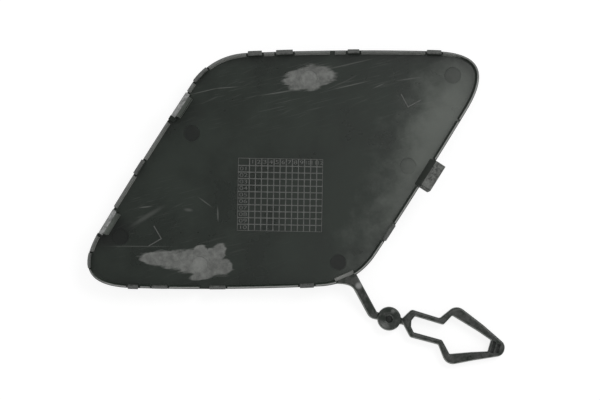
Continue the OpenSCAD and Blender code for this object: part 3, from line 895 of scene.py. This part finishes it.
    for centre, radius, share, paint in patches:
        spot = nodes.spot(where, centre, radius, radius, 0, 0.5)
        colour = nodes.mix(nodes.math("MULTIPLY", spot, share), colour, rgba(paint))
    colour = nodes.mix(nodes.ramp(speckle, 0.55, 0.8, 0.0, 0.10), colour, rgba([min(1, 3 * c) for c in base]))
    nodes.tree.links.new(colour, shader.inputs["Base Color"])
    nodes.tree.links.new(rough, shader.inputs["Roughness"])
    fine = nodes.noise(where, 3200, 3, 0.6)
    bump = nodes.add("ShaderNodeBump", {"Height": fine, "Strength": 0.12 * grain, "Distance": 0.05 * MM})
    nodes.tree.links.new(bump.outputs[0], shader.inputs["Normal"])
    shader.inputs["IOR"].default_value = 1.49
    return material


def rim_plastic():
    """Plastic of the rim, lighter on its top from rubbing and painted light, with painted light on the faces turned
    towards +x and -y
    """
    look = sizes("plastic")
    found = bpy.data.materials.get("rim plastic")
    # Painted light on the rim's faces turned towards +x and -y, in a lighter smear grey
    lit_side = [c * 1.2 for c in look.smear], (0.6, -0.8, 0.3), 0.5
    return found or moulded_plastic("rim plastic", look.body, look.rubbed_and_lit, mottle=0.6, upward_range=(0.8, 0.95), lit_side=lit_side)


class BuildPlate(bpy.types.Operator):
    """Crowned face plate with its rounded edge and the marks of the ejector pins"""

    bl_idname = "cover.build_plate"
    bl_label = "Face plate"

    def execute(self, context):
        s, rim = sizes("plate"), sizes("rim")
        edge = Edge(s)
        steps = [12, 34, 12, 20] * 2
        points = [edge.at(k + n / count) for k, count in enumerate(steps) for n in range(count)]
        bm = bmesh.new()
        bottom = face_of(bm, points)
        top = raise_faces(bm, [bottom], s.thickness)[0]
        for face, width, segments in ((bottom, s.face_edge, 6), (top, s.lip_edge, 2)):
            bmesh.ops.bevel(
                bm,
                geom=list(face.edges),
                offset=width,
                segments=segments,
                profile=0.5,
                affect="EDGES",
                material=-1,
            )
        bm.normal_update()
        top = max((f for f in bm.faces if f.normal.z > 0.9), key=lambda f: f.calc_area())
        band = rim.lip + rim.wall / 2
        bmesh.ops.inset_region(bm, faces=[top], thickness=band - s.lip_edge, use_even_offset=True)
        cutter = bmesh.new()
        for x, y, shade in PIN_MARKS:
            bmesh.ops.create_cone(
                cutter,
                cap_ends=True,
                segments=48,
                radius1=s.pin_radius,
                radius2=s.pin_radius + 0.1 * MM,
                depth=2 * s.pin_depth,
                matrix=Matrix.Translation((x, y, s.thickness)),
            )
        for place, inset in HOOKS:
            r = rim.relief
            box = [(-r, -s.thickness - MM), (MM, -s.thickness - MM), (MM, MM), (-r, MM)]
            edge_bar(cutter, edge, place, rim.hook_length + 2 * rim.slit, box)
        bm = cut_with(bm, cutter)
        outline = [edge.at(k / 100) for k in range(STRETCHES * 100)]
        for face in bm.faces:
            middle = face.calc_center_median()
            if middle.z > s.thickness - s.lip_edge and min((middle.xy - p).length for p in outline) < band:
                face.material_index = 1
        bend_to_crown(bm, s.strip)
        look = sizes("plastic")
        materials = [moulded_plastic("plate plastic", look.body, marks_and_light=True), rim_plastic()]
        new_piece("plate", bm, materials, angle=30)
        return {"FINISHED"}


class BuildRim(bpy.types.Operator):
    """Rim wall, interrupted at the snaps, the tongue and the strap's web"""

    bl_idname = "cover.build_rim"
    bl_label = "Rim wall"

    def execute(self, context):
        s, rim, tether = sizes("plate"), sizes("rim"), sizes("tether")
        edge = Edge(s)
        gaps = [(place, length + 2 * rim.slit) for place, length, share in SNAP_TABS]
        gaps += WALL_GAPS
        gaps += [(place, rim.hook_length + 2 * rim.slit) for place, inset in HOOKS]
        gaps += [(TONGUE_PLACE, rim.tongue_length + 2 * rim.slit), (WEB_PLACE, tether.web_length)]
        gaps.sort()
        total = edge.lengths[-1]
        outer, inner = -rim.lip, -rim.lip - rim.wall
        section = [
            (outer, -0.8 * MM),
            (outer, 0),
            (outer - rim.draft, rim.wall_height - 1.5 * rim.wall_chamfer),
            (outer - rim.wall_chamfer, rim.wall_height),
            (inner + rim.wall_chamfer, rim.wall_height),
            (inner + rim.draft, rim.wall_height - 1.5 * rim.wall_chamfer),
            (inner, rim.fillet),
            (inner - rim.fillet, 0),
            (inner - rim.fillet, -0.8 * MM),
        ]
        bm = bmesh.new()
        for (place, length), (after, next_length) in zip(gaps, gaps[1:] + gaps[:1]):
            start = edge.distance(place) + length / 2
            end = edge.distance(after) - next_length / 2
            if end < start - total / 2:
                end += total
            if end - start < 0.2 * MM:
                continue
            count = max(1, math.ceil((end - start) / (1.2 * MM)))
            places = [edge.place(start + (end - start) * n / count) for n in range(count + 1)]
            sweep(bm, section, [edge.stand(p) for p in places])
        bend_to_crown(bm)
        new_piece("rim_wall", bm, rim_plastic(), rim.soft_edge)
        return {"FINISHED"}


class BuildSnaps(bpy.types.Operator):
    """Short snap tabs and the two tall snap hooks"""

    bl_idname = "cover.build_snaps"
    bl_label = "Snap tabs and hooks"

    def execute(self, context):
        rim = sizes("rim")
        edge = Edge(sizes("plate"))
        look = sizes("plastic")
        sink = 0.8 * MM
        back = -rim.lip - rim.wall
        bm = bmesh.new()
        for place, length, share in SNAP_TABS:
            proud = share * rim.tab_proud
            tab = [
                (back, -sink),
                (-rim.lip, -sink),
                (-rim.lip, rim.tab_height - rim.tab_ramp - rim.lip - proud),
                (proud, rim.tab_height - rim.tab_ramp),
                (back + rim.crest, rim.tab_height),
                (back, rim.tab_height),
            ]
            edge_strip(bm, edge, place, length, tab)
        bend_to_crown(bm)
        # Upward faces of the tabs take a lighter grey: painted light
        new_piece("snap_tabs", bm, moulded_plastic("tab plastic", look.body, [c * 0.6 for c in look.rubbed_and_lit], mottle=0.6), rim.soft_edge)

        bm = bmesh.new()
        slopes = bmesh.new()
        for place, inset in HOOKS:
            nose = -inset
            leg_out = nose - rim.hook_nose
            leg_in = leg_out - rim.hook_leg
            ridge = leg_in + rim.hook_back
            middle = (ridge + leg_out) / 2
            hook = [
                (ridge, -sink),
                (leg_out, -sink),
                (leg_out, rim.grip),
                (nose, rim.grip),
                (nose, rim.grip + rim.nose_height),
                (ridge, rim.hook_height),
            ]
            slope = [
                (leg_in, -sink),
                (middle, -sink),
                (middle, rim.grip),
                (ridge + 0.02 * MM, rim.hook_height - 0.05 * MM),
                (leg_in, rim.hook_height - rim.hook_fall),
            ]
            edge_bar(bm, edge, place, rim.hook_length, hook)
            edge_bar(slopes, edge, place, rim.hook_length - 2 * rim.hook_trim, slope)
        bend_to_crown(bm)
        # Upward and sloped faces of the hooks take a light grey: painted highlight
        new_piece("snap_hooks", bm, moulded_plastic("hook plastic", look.body, look.painted_highlight, mottle=0.5), rim.soft_edge)
        bend_to_crown(slopes)
        # The hooks' inner slopes take a lighter grey: painted light
        new_piece("hook_slopes", slopes, moulded_plastic("slope plastic", look.painted_light), rim.soft_edge)

        inner = -rim.lip - rim.wall - rim.hook_leg / 2
        foot = [(inner, -sink), (inner + rim.foot_width, -sink), (inner + rim.foot_width, rim.foot_height)]
        foot.append((inner, rim.foot_height))
        bm = bmesh.new()
        edge_bar(bm, edge, FOOT_PLACE, rim.foot_length, foot)
        bend_to_crown(bm)
        new_piece("hook_foot", bm, moulded_plastic("foot plastic", look.body), rim.soft_edge)
        return {"FINISHED"}


class BuildTongue(bpy.types.Operator):
    """Leaning tongue with its lip and the wing on the lip's lower end"""

    bl_idname = "cover.build_tongue"
    bl_label = "Tongue"

    def execute(self, context):
        rim = sizes("rim")
        edge = Edge(sizes("plate"))
        look = sizes("plastic")
        sink = 0.8 * MM
        foot = -rim.lip - rim.tongue_leg
        top = foot + rim.tongue_lean
        leg = [
            (foot, -sink),
            (-rim.lip, -sink),
            (-rim.lip, sink),
            (top + 0.35 * MM, rim.grip),
            (top + 0.35 * MM, rim.grip + rim.tongue_edge),
            (top, rim.tongue_height),
        ]
        lip = [
            (top, rim.grip),
            (rim.tongue_reach, rim.grip),
            (rim.tongue_reach, rim.grip + rim.tongue_edge),
            (top + rim.crest, rim.tongue_height),
            (top, rim.tongue_height),
        ]
        bm = bmesh.new()
        edge_bar(bm, edge, TONGUE_PLACE, rim.tongue_length, leg)
        edge_bar(bm, edge, LIP_PLACE, rim.lip_length, lip)
        wing = bmesh.new()
        edge_bar(wing, edge, LIP_PLACE, rim.wing + sink, lip, -(rim.lip_length + rim.wing) / 2 + sink / 2, rim.wing_drop)
        stand = edge.stand(LIP_PLACE)
        low = -rim.lip_length / 2 - rim.wing
        tip = Vector((rim.tongue_reach - 0.42 * MM, low, 0))
        for normal in (Vector((0.16, -1, 0)), Vector((1, -0.65, 0))):
            slice_off(wing, stand @ tip, stand.to_3x3() @ normal)
        join(bm, wing)
        bend_to_crown(bm)
        # The tongue's tone is darkened as painted shade on its leaning leg, and its upward faces take painted light
        painted_shade_tone = [c * 0.5 for c in look.body]
        pale = edge.stand(LIP_PLACE) @ Vector((0.8 * MM, -2.7 * MM, 0))
        patches = [(pale, 1.1 * MM, 0.55, look.smear)]
        plastic = moulded_plastic("tongue plastic", painted_shade_tone, look.rubbed_and_lit, grain=2, mottle=0.7, patches=patches)
        new_piece("tongue", bm, plastic, rim.soft_edge)
        return {"FINISHED"}


def line_meet(p, u, q, v):
    """Where the line through p along u meets the line through q along v"""
    cross = u.x * v.y - u.y * v.x
    return p + u * ((q - p).x * v.y - (q - p).y * v.x) / cross


class BuildTether(bpy.types.Operator):
    """Strap with its root and web, the disc with its dimple, the neck and the arrow loop"""

    bl_idname = "cover.build_tether"
    bl_label = "Tether"

    def execute(self, context):
        s = sizes("tether")
        look = sizes("plastic")
        edge = Edge(sizes("plate"))
        root = edge.at(STRAP_PLACE)
        along = Vector((math.cos(s.heading), math.sin(s.heading)))
        left = Vector((-along.y, along.x))
        end = root + along * s.length
        bend = end + Vector((1, -0.75)) * MM
        disc = end + Vector((4.3, -1.5)) * MM
        loop = end + Vector((7.85, -2.15)) * MM
        kink = root + along * (s.root_drop - 0.3 * MM) + left * 0.3 * MM
        # Painted highlight on the strap's bend, and painted shade in the disc's dimple
        patches = [(kink, 0.75 * MM, 0.9, look.painted_highlight), (disc, s.dimple + 0.2 * MM, 0.8, [c * 0.3 for c in look.body])]
        # The tether's flat tops take a lighter grey as painted light from above, and its faces turned towards -x and -y
        # a painted highlight
        top = [c * 0.5 for c in look.rubbed_and_lit]
        lit_side = [c * 2.2 for c in look.rubbed_and_lit], (-0.5, -1, 0), 0.3
        plastic = moulded_plastic("tether plastic", look.body, top, False, 1, 0.3, patches, (0.9, 1.05), lit_side)
        self.strap(s, root, along, left, bend, disc, plastic)
        self.web(s, edge)
        self.disc(s, disc, plastic)
        self.loop(s, sizes("loop"), disc, loop, plastic)
        return {"FINISHED"}

    def root_points(self, s, root, along, left):
        """Outline of the strap's root: straight on its right side and flared on its left"""
        half = s.strap / 2
        local = [(-s.root_in, half), (s.root_drop, half)]
        local += [
            (s.root_drop - t * (s.root_drop + s.flare_back), -half - t * t * s.flare)
            for t in (n / 8 for n in range(9))
        ]
        local.append((-s.root_in - s.flare_back, -half - 0.8 * s.flare))
        return [root + along * x + left * y for x, y in local]

    def strap(self, s, root, along, left, bend, disc, plastic):
        half = s.strap / 2
        link = (disc - bend).normalized()
        link_left = Vector((-link.y, link.x))
        inner = line_meet(root + left * half, along, bend + link_left * s.link / 2, link)
        outer = line_meet(root - left * half, along, bend - link_left * s.link / 2, link)
        path = self.root_points(s, root, along, left)
        points = [path[0]]
        points += corner_arc(path[0], inner, disc + link_left * s.link / 2, 0.6 * MM)
        points += [disc + link_left * s.link / 2, disc - link_left * s.link / 2]
        points += corner_arc(disc - link_left * s.link / 2, outer, path[2], 2.5 * MM)
        points += path[2:]
        bm = bmesh.new()
        bottom = face_of(bm, points)
        top = raise_faces(bm, [bottom], s.thickness)[0]
        bmesh.ops.bevel(
            bm, geom=list(top.edges), offset=s.chamfer, segments=3, profile=0.5, affect="EDGES", material=-1
        )
        normal = Vector((*along, 0))
        soft = 0.5 * MM
        cuts = [s.root_drop + soft * k / 3 for k in range(-3, 4)] + [s.length + soft * k / 3 for k in range(-3, 4)]
        for cut in cuts:
            bmesh.ops.bisect_plane(
                bm,
                geom=bm.verts[:] + bm.edges[:] + bm.faces[:],
                dist=1e-7,
                plane_co=Vector((*root, 0)) + normal * cut,
                plane_no=normal,
            )
        high = crowned_height(root, sizes("plate").thickness) - s.thickness / 2
        for v in bm.verts:
            t = (v.co.xy - root).dot(along)
            down = soft_step(t, s.root_drop, s.length, soft)
            v.co.z += high + (s.gap - high) * down
        new_piece("strap", bm, plastic, angle=30)

    def web(self, s, edge):
        """Web in the rim that the strap grows out of, with a slope on its outer side"""
        back = -s.web_in - s.web
        crest = sizes("rim").crest
        bm = bmesh.new()
        web = [
            (back, -0.8 * MM),
            (-s.web_in, -0.8 * MM),
            (-s.web_in, s.thickness / 2),
            (back + crest / 2, s.web_height),
            (back, s.web_height),
        ]
        edge_bar(bm, edge, WEB_PLACE, s.web_length, web)
        bend_to_crown(bm)
        new_piece("strap_web", bm, rim_plastic(), sizes("rim").soft_edge / 2)

    def disc(self, s, centre, plastic):
        r, top, dip = s.disc, s.gap + s.disc_height, s.gap + s.disc_height - s.dimple_depth
        profile = [
            (0, s.gap),
            (r - 0.3 * MM, s.gap),
            (r, s.gap + 0.3 * MM),
            (r, top - 0.5 * MM),
            (r - 0.1 * MM, top - 0.2 * MM),
            (r - 0.3 * MM, top),
            (r - 0.45 * MM, top),
            (r - 0.75 * MM, top - 0.22 * MM),
            (s.dimple + 0.25 * MM, top - 0.25 * MM),
            (s.dimple + 0.05 * MM, top - 0.35 * MM),
            (s.dimple - 0.1 * MM, dip),
            (0, dip),
        ]
        bm = bmesh.new()
        verts = [bm.verts.new((x, 0, z)) for x, z in profile]
        edges = [bm.edges.new(pair) for pair in zip(verts, verts[1:])]
        bmesh.ops.spin(
            bm,
            geom=verts + edges,
            cent=(0, 0, 0),
            axis=(0, 0, 1),
            angle=2 * math.pi,
            steps=64,
            use_merge=True,
        )
        bmesh.ops.remove_doubles(bm, verts=bm.verts, dist=1e-6)
        bmesh.ops.translate(bm, verts=bm.verts, vec=(*centre, 0))
        new_piece("tether_disc", bm, plastic, angle=50)

    def loop(self, s, a, disc, start, plastic):
        place = Matrix.Translation((*start, s.gap)) @ Matrix.Rotation(a.heading, 4, "Z")
        nose = a.tail_length + a.head_length
        half = a.tail_width / 2
        barb = a.head_width / 2 + 0.2 * a.barb_radius
        bowed = (barb + a.nose / 2) / 2 + 0.05 * MM
        outer = [
            (-0.45 * MM, 0.3 * MM, 0.1 * MM, 0.58),
            (1.95 * MM, half, 1 * MM, a.tail_slant),
            (a.tail_length, half - 0.15 * MM, 0.7 * MM, a.tail_slant),
            (a.tail_length + 3.25 * MM, barb, a.barb_radius, a.barb_slant),
            (nose - 6.8 * MM, bowed, 12 * MM, 0),
            (nose, a.nose / 2, 0.72 * a.nose, 0),
        ]
        inner = [
            (2.1 * MM, 0.75 * MM, 0.4 * MM, a.tail_slant),
            (2.87 * MM, half - a.tail_bar, 0.4 * MM, a.tail_slant),
            (a.tail_length + 0.97 * MM, half - a.tail_bar - 0.08 * MM, 0.6 * MM, a.tail_slant),
            (a.tail_length + 3.1 * MM, a.head_width / 2 - a.barb_bar, 0.3 * MM, a.tail_slant),
            (nose - 7.8 * MM, 2.75 * MM, 12 * MM, 0),
            (nose - 3.9 * MM, a.nose / 2, 0.2 * MM, 0),
        ]
        bm, cutter = bmesh.new(), bmesh.new()
        rings = []
        for upper in (outer, inner):
            verts = [bm.verts.new((*p, 0)) for p in self.mirrored_path(upper)]
            rings += [bm.edges.new(pair) for pair in zip(verts, verts[1:] + verts[:1])]
        faces = bmesh.ops.bridge_loops(bm, edges=rings)["faces"]
        raise_faces(bm, faces, a.thickness)
        bmesh.ops.recalc_face_normals(bm, faces=bm.faces)
        rim = [
            e for e in bm.edges
            if all(v.co.z > a.thickness / 2 for v in e.verts) and any(abs(f.normal.z) < 0.1 for f in e.link_faces)
        ]
        bmesh.ops.bevel(bm, geom=rim, offset=s.chamfer, segments=3, profile=0.5, affect="EDGES", material=-1)
        for back, length in ((3.3 * MM, 3 * MM), (2.05 * MM, 2.2 * MM)):
            made = bmesh.ops.create_cube(cutter, size=1.0)["verts"]
            bmesh.ops.scale(cutter, verts=made, vec=(0.8 * MM, length, 2 * a.pocket_depth))
            bmesh.ops.translate(cutter, verts=made, vec=(nose - back + 0.4 * MM, 0, a.thickness))
        bm = cut_with(bm, cutter)
        bmesh.ops.transform(bm, matrix=place, verts=bm.verts)
        new_piece("arrow_loop", bm, plastic, angle=30)

        self.neck(s, a, disc, start, plastic)

    def mirrored_path(self, upper):
        """Closed path of the loop's upper half and its mirror image, with rounded corners"""
        points = [Vector((x - slant * y, y)) for x, y, r, slant in upper]
        points += [Vector((x + slant * y, -y)) for x, y, r, slant in reversed(upper)]
        radii = [r for x, y, r, slant in upper]
        return rounded(points, radii + radii[::-1])

    def neck(self, s, a, disc, start, plastic):
        """Neck that flares into the disc and the loop"""
        neck = bmesh.new()
        tip = start + Vector((math.cos(a.heading), math.sin(a.heading))) * 1.2 * MM
        run = (tip - disc).normalized()
        side = Vector((-run.y, run.x)) * s.neck / 2
        waist = disc + run * (s.disc + 0.5 * MM)
        left = [disc + 1.5 * side, waist + side, tip + 1.4 * side]
        right = [tip - 1.4 * side, waist - side, disc - 1.5 * side]
        bottom = face_of(neck, left + right, s.gap)
        top = raise_faces(neck, [bottom], s.thickness)[0]
        bmesh.ops.bevel(
            neck, geom=list(top.edges), offset=s.chamfer, segments=3, profile=0.5, affect="EDGES", material=-1
        )
        new_piece("neck", neck, plastic, angle=30)


def soft_step(t, start, end, soft):
    """0 before start, 1 after end and straight between them, with both bends rounded"""

    def rise(x):
        """Straight rise from 0 on, rounded within soft of it"""
        if x <= -soft:
            return 0.0
        if x >= soft:
            return x
        return (x + soft) ** 2 / (4 * soft)

    return (rise(t - start) - rise(t - end)) / (end - start)


class BuildLines(bpy.types.Operator):
    """Raised lines and numbers of the date table, and the two corner marks"""

    bl_idname = "cover.build_lines"
    bl_label = "Raised lines"

    def execute(self, context):
        s = sizes("lines")
        back = sizes("plate").thickness
        columns = [0, *(s.head_column + n * s.column for n in range(s.columns + 1))]
        rows = [0, *(s.head_row + n * s.row for n in range(s.rows + 1))]
        bm = bmesh.new()
        bmesh.ops.create_grid(bm, x_segments=s.columns + 1, y_segments=s.rows + 1, size=1)
        for v in bm.verts:
            c = round((v.co.x + 1) / 2 * (s.columns + 1))
            r = round((1 - v.co.y) / 2 * (s.rows + 1))
            v.co = (columns[c], -rows[r], 0)
        cells = bm.faces[:]
        bmesh.ops.inset_individual(bm, faces=cells, thickness=s.width / 2, use_even_offset=True)
        bmesh.ops.delete(bm, geom=cells, context="FACES")
        raise_faces(bm, bm.faces[:], s.height + 0.1 * MM)
        table = Matrix.Translation((*s.corner, back - 0.1 * MM)) @ Matrix.Rotation(s.turn, 4, "Z")
        self.numbers(bm, s, columns, rows)
        bmesh.ops.transform(bm, matrix=table, verts=bm.verts)
        for (x, y), heading in CORNER_MARKS:
            mark = bmesh.new()
            arm, w = s.arm, s.width
            face_of(mark, [(0, 0), (arm, 0), (arm, w), (w, w), (w, arm), (0, arm)])
            raise_faces(mark, mark.faces[:], s.height + 0.1 * MM)
            turn = Matrix.Rotation(math.radians(heading), 4, "Z")
            bmesh.ops.transform(mark, matrix=Matrix.Translation((x, y, back - 0.1 * MM)) @ turn, verts=mark.verts)
            join(bm, mark)
        bend_to_crown(bm, sizes("plate").strip)
        look = sizes("plastic")
        # Tops of the raised lines take a lighter grey: painted light
        new_piece("raised_lines", bm, moulded_plastic("line plastic", look.body, look.rubbed_and_lit), 0.04 * MM)
        return {"FINISHED"}

    def numbers(self, bm, s, columns, rows):
        """Plain numbers in the head row and the head column"""
        cells = []
        for n in range(s.columns):
            cells.append((str(n + 1), (columns[n + 1] + columns[n + 2]) / 2, -s.head_row / 2, s.column * 0.72))
        for n in range(s.rows):
            cells.append((f"{n + 1:02d}", s.head_column / 2, -(rows[n + 1] + rows[n + 2]) / 2, s.head_column * 0.7))
        for text, x, y, width in cells:
            curve = bpy.data.curves.new("number", "FONT")
            curve.body = text
            curve.align_x, curve.align_y = "CENTER", "CENTER"
            curve.size = s.digit * 1.35
            curve.extrude = (s.height + 0.1 * MM) / 2
            obj = bpy.data.objects.new("number", curve)
            bpy.context.scene.collection.objects.link(obj)
            part = bmesh.new()
            part.from_mesh(obj.to_mesh())
            obj.to_mesh_clear()
            bpy.data.objects.remove(obj)
            bpy.data.curves.remove(curve)
            bmesh.ops.remove_doubles(part, verts=part.verts, dist=1e-6)
            span = max(v.co.x for v in part.verts) - min(v.co.x for v in part.verts)
            stretch = min(width / span, 1.6)
            place = Matrix.Translation((x, y, (s.height + 0.1 * MM) / 2)) @ Matrix.Diagonal((stretch, 1, 1, 1))
            bmesh.ops.transform(part, matrix=place, verts=part.verts)
            join(bm, part)


class BuildStage(bpy.types.Operator):
    """White floor, soft studio light and the camera straight above"""

    bl_idname = "cover.build_stage"
    bl_label = "Stage"

    def execute(self, context):
        s = sizes("stage")
        scene = context.scene
        self.floor(s)
        self.world(s, scene)
        self.key(s)
        data = bpy.data.cameras.new("camera")
        camera = bpy.data.objects.new("camera", data)
        scene.collection.objects.link(camera)
        level = sizes("plate").thickness
        camera.location = (s.camera_x, s.camera_y, level + s.distance)
        camera.rotation_euler = (0, 0, s.roll)
        data.lens = data.sensor_width * s.distance / s.field
        data.clip_start, data.clip_end = 0.01, 20
        scene.camera = camera
        scene.view_settings.view_transform = "Standard"
        return {"FINISHED"}

    def floor(self, s):
        """Pale floor that is white to the camera and keeps the object's shadow"""
        bm = bmesh.new()
        bmesh.ops.create_grid(bm, x_segments=1, y_segments=1, size=s.floor_size / 2)
        mesh = bpy.data.meshes.new("floor")
        bm.to_mesh(mesh)
        bm.free()
        floor = bpy.data.objects.new("floor", mesh)
        bpy.context.scene.collection.objects.link(floor)
        material = bpy.data.materials.new("floor")
        material.use_nodes = True
        nodes = Nodes(material.node_tree)
        shader = material.node_tree.nodes["Principled BSDF"]
        shader.inputs["Base Color"].default_value = (0.28, 0.28, 0.28, 1)
        shader.inputs["Roughness"].default_value = 1.0
        shader.inputs["Specular IOR Level"].default_value = 0.0
        shader.inputs["Emission Color"].default_value = (1, 1, 1, 1)
        path = nodes.add("ShaderNodeLightPath").outputs
        seen = nodes.math("MAXIMUM", path["Is Glossy Ray"], path["Is Transmission Ray"])
        seen = nodes.math("MAXIMUM", seen, path["Is Camera Ray"])
        nodes.tree.links.new(nodes.math("MULTIPLY", seen, 0.82), shader.inputs["Emission Strength"])
        mesh.materials.append(material)

    def world(self, s, scene):
        """Sky that is white at the horizon, darker overhead, with a soft round glow beside the camera"""
        world = bpy.data.worlds.new("studio")
        scene.world = world
        world.use_nodes = True
        nodes = Nodes(world.node_tree)
        background = world.node_tree.nodes["Background"]
        direction = nodes.add("ShaderNodeTexCoord").outputs["Generated"]
        up = nodes.add("ShaderNodeSeparateXYZ", {0: direction}).outputs["Z"]
        strength = nodes.ramp(up, 0.2, 0.95, s.horizon, s.sky)
        middle = Vector((s.glow_x, s.glow_y, 1)).normalized()
        away = nodes.add("ShaderNodeVectorMath", {0: direction, 1: middle}, operation="DISTANCE").outputs["Value"]
        glow = nodes.ramp(away, 0.27, 0.09, 0.0, s.glow)
        background.inputs["Color"].default_value = (1, 1, 1, 1)
        nodes.tree.links.new(nodes.math("ADD", strength, glow), background.inputs["Strength"])

    def key(self, s):
        """Soft lamp behind, on the right"""
        data = bpy.data.lights.new("key", "AREA")
        data.shape = "SQUARE"
        data.size = s.key_size
        data.energy = s.key_power
        lamp = bpy.data.objects.new("key", data)
        bpy.context.scene.collection.objects.link(lamp)
        lamp.location = Vector((0.65, 0.65, 0.95))
        lamp.rotation_mode = "QUATERNION"
        lamp.rotation_quaternion = lamp.location.to_track_quat("Z", "Y")


class CoverPanel(bpy.types.Panel):
    """Lists the cover's pieces and the stage"""

    bl_idname = "VIEW3D_PT_cover"
    bl_label = "Tow hook cover"
    bl_space_type = "VIEW_3D"
    bl_region_type = "UI"
    bl_category = "Cover"

    def draw(self, context):
        for operator in OPERATORS:
            self.layout.operator(operator.bl_idname)


OPERATORS = (BuildPlate, BuildRim, BuildSnaps, BuildTongue, BuildTether, BuildLines, BuildStage)
GROUPS = {
    "plate": PlateSizes,
    "rim": RimSizes,
    "tether": TetherSizes,
    "loop": LoopSizes,
    "lines": LineSizes,
    "plastic": PlasticLook,
    "stage": StageLook,
}


def register():
    for made in (*GROUPS.values(), *OPERATORS, CoverPanel):
        bpy.utils.register_class(made)
    for name, group in GROUPS.items():
        setattr(bpy.types.Scene, "cover_" + name, PointerProperty(type=group))


def unregister():
    for name in GROUPS:
        delattr(bpy.types.Scene, "cover_" + name)
    for made in (CoverPanel, *reversed(OPERATORS), *reversed(GROUPS.values())):
        bpy.utils.unregister_class(made)


def main():
    register()
    bpy.ops.cover.build_plate()
    bpy.ops.cover.build_rim()
    bpy.ops.cover.build_snaps()
    bpy.ops.cover.build_tongue()
    bpy.ops.cover.build_tether()
    bpy.ops.cover.build_lines()
    bpy.ops.cover.build_stage()


if __name__ == "__main__":
    main()
